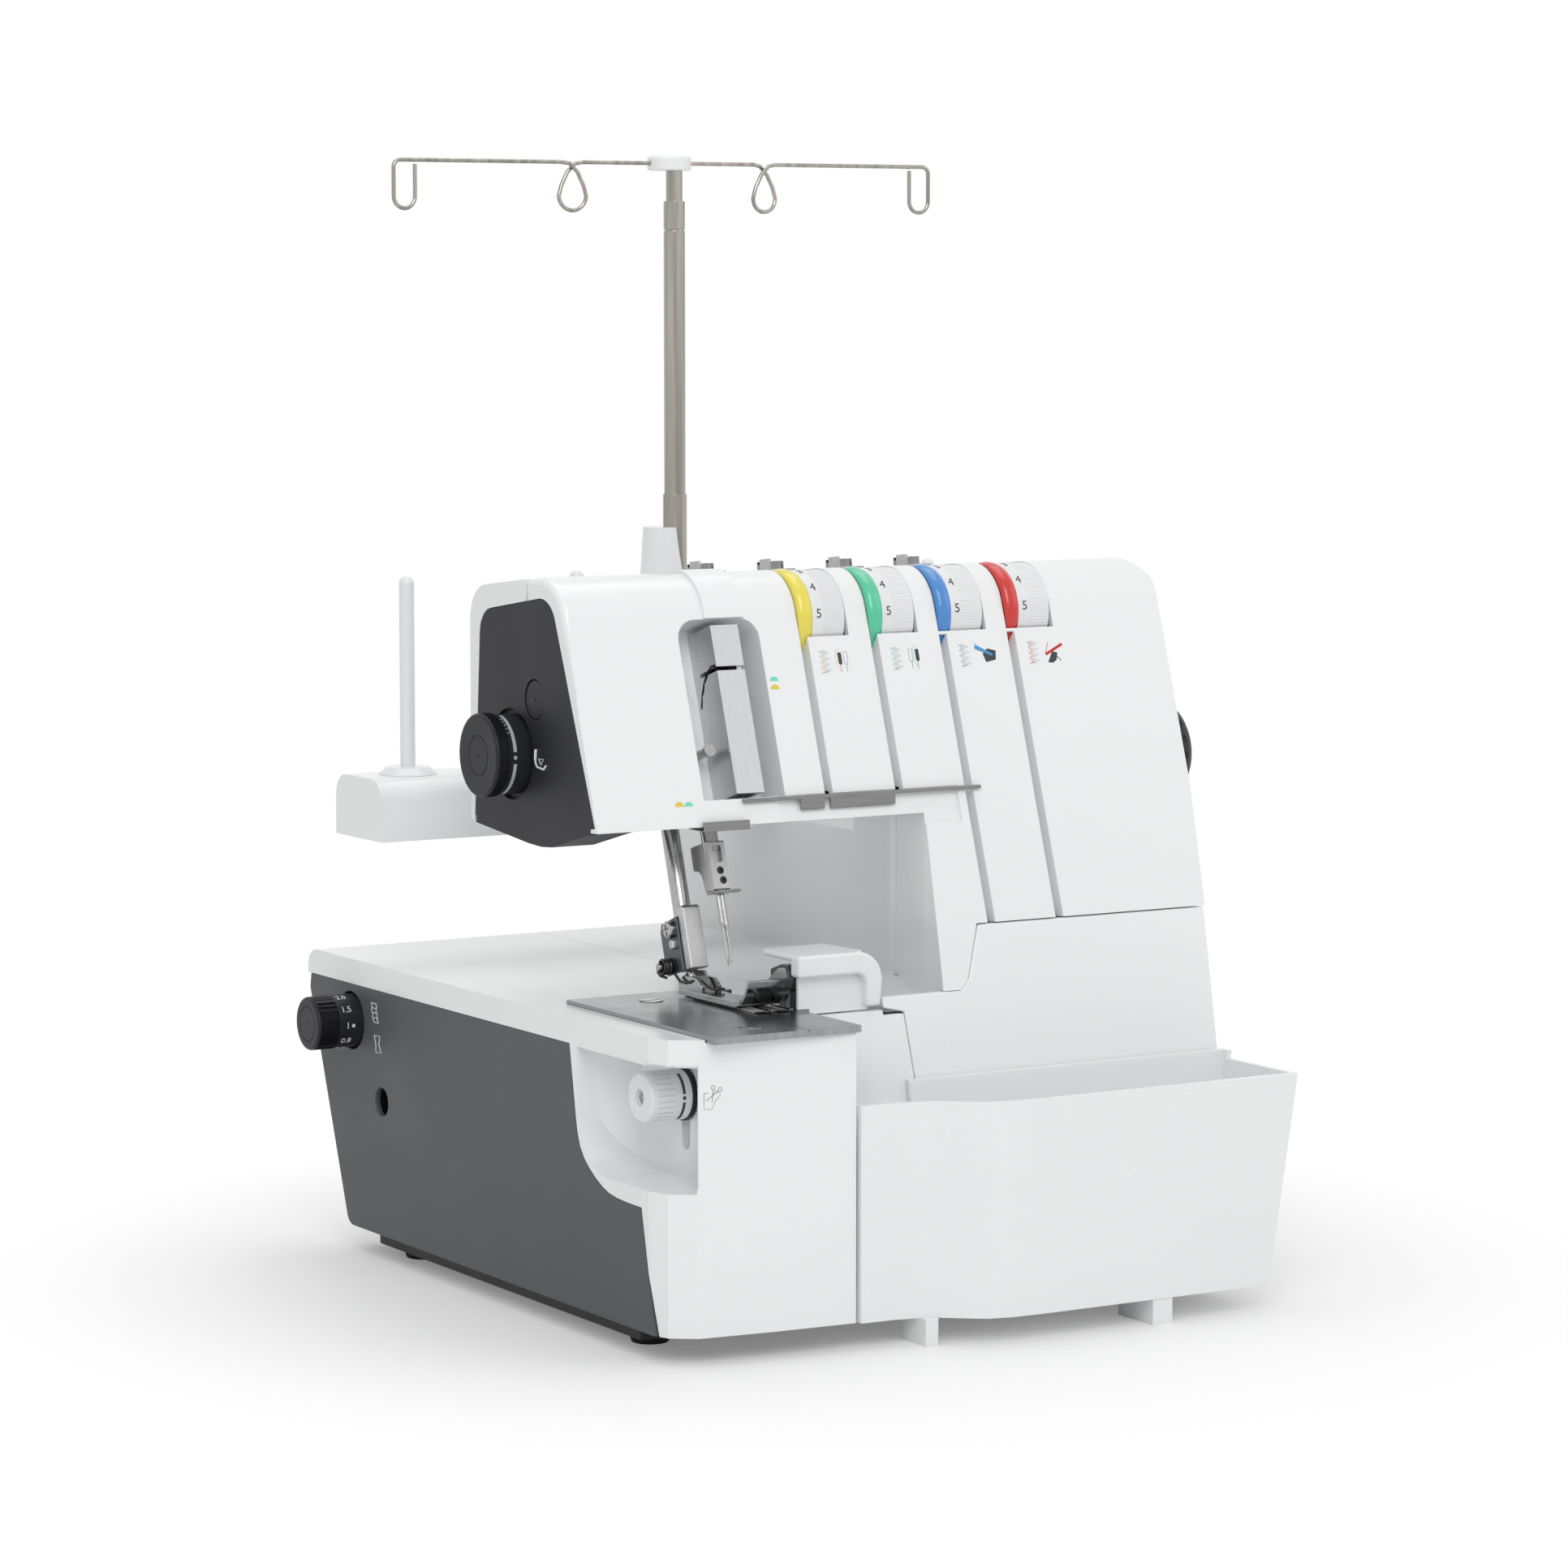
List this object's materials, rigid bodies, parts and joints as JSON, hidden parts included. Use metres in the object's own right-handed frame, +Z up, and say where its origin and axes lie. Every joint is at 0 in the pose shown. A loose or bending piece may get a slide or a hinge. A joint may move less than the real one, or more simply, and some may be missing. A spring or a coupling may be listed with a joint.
{
  "type": "overlock sewing machine",
  "caption": "Serger overlock machine with leaning arm, tension dials, needle head, presser foot, handwheel, waste bin and telescopic thread stand.",
  "frame": {"origin": "middle of the footprint, on the table, at the bottom of the feet", "axes": "+X to the operator's right along the arm, +Y away from the operator, +Z up"},
  "size_m": [0.3104, 0.3288, 0.443],
  "materials": {
    "base_plastic": "matte moulded",
    "foot_rubber": "matte",
    "grey_panel": "satin moulded",
    "shell_white": "satin gloss moulded",
    "bin_white": "gloss moulded",
    "knob_white": "gloss moulded",
    "pin_white": "gloss moulded",
    "charcoal": "satin moulded",
    "black_plastic": "satin moulded",
    "plate_steel": "polished, edge broken",
    "bright_steel": "nickel plated",
    "dark_steel": "oiled dark steel",
    "foot_steel": "polished",
    "black_steel": "black oxide",
    "satin_silver": "satin silver lacquer",
    "yellow": "gloss moulded ring on a white drum",
    "green": "gloss moulded ring on a white drum",
    "blue": "gloss moulded ring on a white drum",
    "red": "gloss moulded ring on a white drum",
    "frame_metal": "machined",
    "motor_metal": "enamelled",
    "belt_rubber": "toothed rubber",
    "pole_chrome": "polished chrome plate",
    "wire_chrome": "polished chrome plate"
  },
  "bodies": {
    "machine": {"base_tray": "base_plastic", "foot_pads": "foot_rubber", "left_panel": "grey_panel", "bed_cover": "shell_white", "front_frame": "shell_white", "rear_shell": "shell_white", "front_shell": "shell_white", "head_panel": "charcoal", "head_plug": "charcoal", "needle_plate": "plate_steel", "plate_screws": "bright_steel", "lower_knife": "bright_steel", "head_thread_guide": "bright_steel", "take_up_cover": "satin_silver", "guide_pin": "bright_steel", "guide_plate": "bright_steel", "tension_posts": "frame_metal", "top_guides": "bright_steel", "guide_screws": "bright_steel", "cast_frame": "frame_metal", "motor": "motor_metal", "drive_belt": "belt_rubber", "power_inlet": "black_plastic", "spool_stand": "shell_white", "spool_pins": "pin_white", "pole_base": "pole_chrome"},
    "door": {"looper_door": "shell_white", "fabric_guide": "shell_white"},
    "bin": {"waste_bin": "bin_white"},
    "feed": {"feed_dogs": "bright_steel"},
    "knife": {"upper_knife": "dark_steel"},
    "looper_upper": {"upper_looper": "bright_steel"},
    "looper_lower": {"lower_looper": "bright_steel"},
    "presser": {"presser_bar": "bright_steel", "foot_holder": "dark_steel", "foot_screw": "bright_steel", "presser_foot": "foot_steel", "foot_spring": "black_steel"},
    "needle_drive": {"needle_bar": "bright_steel", "needle_clamp": "bright_steel", "needles": "bright_steel", "set_screws": "black_steel", "needle_thread_guide": "bright_steel"},
    "arm_shaft": {"needle_crank": "frame_metal"},
    "take_up": {"take_up_lever": "bright_steel"},
    "tension_1": {"dial_yellow": "yellow"},
    "tension_2": {"dial_green": "green"},
    "tension_3": {"dial_blue": "blue"},
    "tension_4": {"dial_red": "red"},
    "pressure": {"pressure_dial": "charcoal"},
    "lifter": {"lifter_lever": "charcoal"},
    "differential": {"diff_dial": "black_plastic"},
    "cut_width": {"cut_knob": "knob_white"},
    "wheel": {"handwheel": "charcoal", "main_shaft": "frame_metal"},
    "motor_rotor": {"motor_pulley": "frame_metal"},
    "stitch_length": {"stitch_dial": "charcoal"},
    "switch": {"rocker_switch": "black_plastic"},
    "pole": {"pole_slide": "pole_chrome"},
    "antenna_arm": {"antenna": "wire_chrome"}
  },
  "joints": [
    {"name": "handwheel_turn", "type": "hinge", "parent": "machine", "child": "wheel", "pos_m": [0.13225, -0.0355, 0.203], "axis": [1, 0, 0], "continuous": true},
    {"name": "motor_turn", "type": "hinge", "parent": "machine", "child": "motor_rotor", "pos_m": [0.06825, 0.0505, 0.058], "axis": [1, 0, 0], "continuous": true},
    {"name": "arm_shaft_rock", "type": "hinge", "parent": "machine", "child": "arm_shaft", "pos_m": [-0.03575, 0.0041, 0.2341], "axis": [1, 0, 0], "range_deg": [0, 42]},
    {"name": "needle_bar_slide", "type": "slide", "parent": "machine", "child": "needle_drive", "axis": [0, -0.2924, -0.9563], "range_m": [0, 0.0249]},
    {"name": "take_up_swing", "type": "hinge", "parent": "machine", "child": "take_up", "pos_m": [-0.06775, -0.0659, 0.2043], "axis": [1, 0, 0], "range_deg": [0, 6]},
    {"name": "upper_looper_swing", "type": "hinge", "parent": "machine", "child": "looper_upper", "pos_m": [-0.01175, -0.0655, 0.088], "axis": [1, 0, 0], "range_deg": [-6, 6]},
    {"name": "lower_looper_swing", "type": "hinge", "parent": "machine", "child": "looper_lower", "pos_m": [-0.01175, -0.0655, 0.052], "axis": [1, 0, 0], "range_deg": [-6, 6]},
    {"name": "knife_swing", "type": "hinge", "parent": "machine", "child": "knife", "pos_m": [-0.03575, -0.0475, 0.104], "axis": [1, 0, 0], "range_deg": [0, 5]},
    {"name": "feed_slide", "type": "slide", "parent": "machine", "child": "feed", "axis": [0, 1, 0], "range_m": [-0.0018, 0.0018]},
    {"name": "presser_lift", "type": "slide", "parent": "machine", "child": "presser", "axis": [0, 0.2924, 0.9563], "range_m": [0, 0.005]},
    {"name": "lifter_swing", "type": "hinge", "parent": "machine", "child": "lifter", "pos_m": [-0.08375, 0.0205, 0.204], "axis": [0, -1, 0], "range_deg": [0, 60]},
    {"name": "yellow_tension_turn", "type": "hinge", "parent": "machine", "child": "tension_1", "pos_m": [-0.02575, -0.0423, 0.2635], "axis": [1, 0, 0], "range_deg": [-150, 150]},
    {"name": "green_tension_turn", "type": "hinge", "parent": "machine", "child": "tension_2", "pos_m": [0.00525, -0.0423, 0.2635], "axis": [1, 0, 0], "range_deg": [-150, 150]},
    {"name": "blue_tension_turn", "type": "hinge", "parent": "machine", "child": "tension_3", "pos_m": [0.03625, -0.0423, 0.2635], "axis": [1, 0, 0], "range_deg": [-150, 150]},
    {"name": "red_tension_turn", "type": "hinge", "parent": "machine", "child": "tension_4", "pos_m": [0.06825, -0.0423, 0.2635], "axis": [1, 0, 0], "range_deg": [-150, 150]},
    {"name": "pressure_turn", "type": "hinge", "parent": "machine", "child": "pressure", "pos_m": [-0.14275, -0.0155, 0.2142], "axis": [1, 0, 0], "range_deg": [-120, 120]},
    {"name": "differential_turn", "type": "hinge", "parent": "machine", "child": "differential", "pos_m": [-0.14375, 0.1248, 0.0943], "axis": [1, 0, 0], "range_deg": [-100, 100]},
    {"name": "cutting_width_turn", "type": "hinge", "parent": "machine", "child": "cut_width", "pos_m": [-0.12075, -0.1005, 0.094], "axis": [1, 0, 0], "range_deg": [-150, 150]},
    {"name": "stitch_length_turn", "type": "hinge", "parent": "machine", "child": "stitch_length", "pos_m": [0.12625, 0.0445, 0.06], "axis": [1, 0, 0], "range_deg": [-120, 120]},
    {"name": "power_rocker", "type": "hinge", "parent": "machine", "child": "switch", "pos_m": [0.11725, 0.093, 0.0535], "axis": [0, 0, 1], "range_deg": [-4, 4]},
    {"name": "door_slide", "type": "slide", "parent": "machine", "child": "door", "axis": [1, 0, 0], "range_m": [0, 0.008]},
    {"name": "bin_pull", "type": "slide", "parent": "machine", "child": "bin", "axis": [0, -1, 0], "range_m": [0, 0.06]},
    {"name": "pole_slide", "type": "slide", "parent": "machine", "child": "pole", "axis": [0, 0, -1], "range_m": [0, 0.085]},
    {"name": "antenna_turn", "type": "hinge", "parent": "pole", "child": "antenna_arm", "pos_m": [-0.00075, 0.0955, 0.44], "axis": [0, 0, 1], "continuous": true}
  ],
  "couplings": [
    {"joint": "motor_turn", "follows": "handwheel_turn", "ratio": 3.1429},
    {"joint": "arm_shaft_rock", "follows": "needle_bar_slide", "rad_per_m": 29.41},
    {"joint": "take_up_swing", "follows": "needle_bar_slide", "rad_per_m": 4.117}
  ]
}
